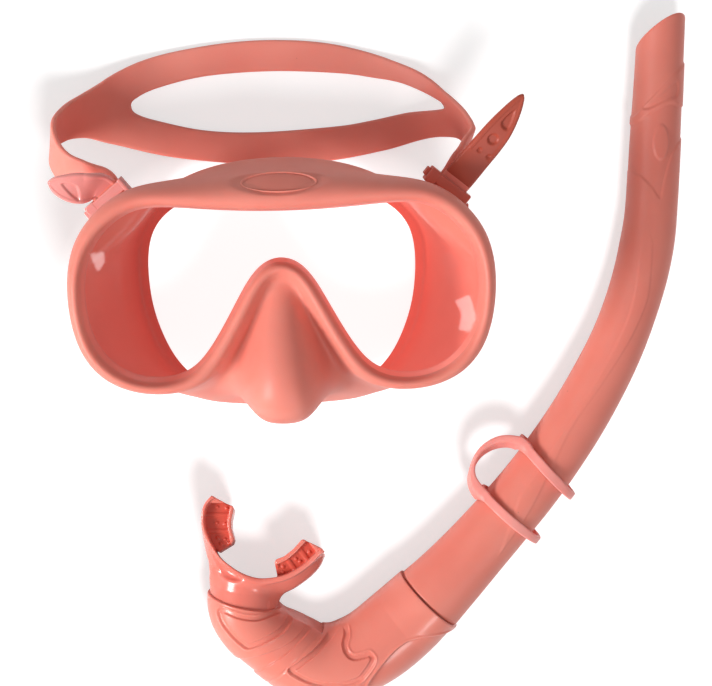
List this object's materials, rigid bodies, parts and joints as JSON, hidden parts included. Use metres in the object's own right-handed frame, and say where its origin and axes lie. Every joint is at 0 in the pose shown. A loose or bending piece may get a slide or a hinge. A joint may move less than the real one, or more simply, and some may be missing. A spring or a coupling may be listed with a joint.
{
  "type": "snorkel mask",
  "caption": "Frameless single-lens diving mask with soft skirt, nose pocket, split head strap and ratchet buckles, laid beside its J snorkel with keeper, elbow and mouthpiece.",
  "frame": {"origin": "on the table, under the middle of the lens: centre of the plane the face seal's temple lips lie in", "axes": "+X to the wearer's left across the mask, +Y from nose to brow, +Z out through the front of the lens; the set lies flat with the lens up"},
  "size_m": [0.2679, 0.3043, 0.0869],
  "materials": {
    "coral_silicone": "satin",
    "coral_gloss": "gloss",
    "coral_plastic": "satin",
    "coral_tube": "satin",
    "steel_pin": "satin",
    "white_plastic": "matt",
    "clear_lens": "gloss"
  },
  "bodies": {
    "mask": {"skirt": "coral_silicone", "lens": "clear_lens", "brow_badge": "coral_gloss", "left_buckle_base": "coral_plastic", "right_buckle_base": "coral_plastic", "left_swivel_stud": "coral_plastic", "right_swivel_stud": "coral_plastic"},
    "strap_loop": {"strap": "coral_silicone", "left_buckle_frame": "coral_plastic", "right_buckle_frame": "coral_plastic", "left_roller_pin": "steel_pin", "right_roller_pin": "steel_pin"},
    "left_roller": {"left_strap_roller": "coral_plastic"},
    "right_roller": {"right_strap_roller": "coral_plastic"},
    "left_button": {"left_release_button": "coral_plastic"},
    "right_button": {"right_release_button": "coral_plastic"},
    "snorkel": {"snorkel_tube": "coral_tube", "coupling_sleeve": "white_plastic"},
    "elbow_unit": {"elbow": "coral_silicone", "mouthpiece": "coral_silicone"},
    "keeper": {"strap_keeper": "coral_silicone"}
  },
  "joints": [
    {"name": "strap_swing", "type": "hinge", "parent": "mask", "child": "strap_loop", "pos_m": [0, 0.021, 0.048], "axis": [1, 0, 0], "range_deg": [-22, 18]},
    {"name": "left_roller_spin", "type": "hinge", "parent": "strap_loop", "child": "left_roller", "pos_m": [-0.06565, 0.0329, 0.05], "axis": [-0.77, -0.638, 0], "continuous": true},
    {"name": "right_roller_spin", "type": "hinge", "parent": "strap_loop", "child": "right_roller", "pos_m": [0.06565, 0.0329, 0.05], "axis": [0.77, -0.638, 0], "continuous": true},
    {"name": "left_button_press", "type": "slide", "parent": "strap_loop", "child": "left_button", "axis": [0.77, 0.638, 0], "range_m": [0, 0.0015], "stiffness_N_per_m": 200, "springref_m": -0.001},
    {"name": "right_button_press", "type": "slide", "parent": "strap_loop", "child": "right_button", "axis": [0.77, -0.638, 0], "range_m": [0, 0.0015], "stiffness_N_per_m": 200, "springref_m": -0.001},
    {"name": "snorkel_lift", "type": "slide", "parent": "mask", "child": "snorkel", "axis": [0, 0, 1], "range_m": [0, 0.12]},
    {"name": "elbow_swivel", "type": "hinge", "parent": "snorkel", "child": "elbow_unit", "pos_m": [0.0616, -0.1483, 0.0174], "axis": [0.7011, 0.7131, 0], "range_deg": [-45, 45]},
    {"name": "keeper_turn", "type": "hinge", "parent": "snorkel", "child": "keeper", "pos_m": [0.1044, -0.1005, 0.01625], "axis": [0.6174, 0.7866, -0.01], "range_deg": [-60, 60]}
  ]
}
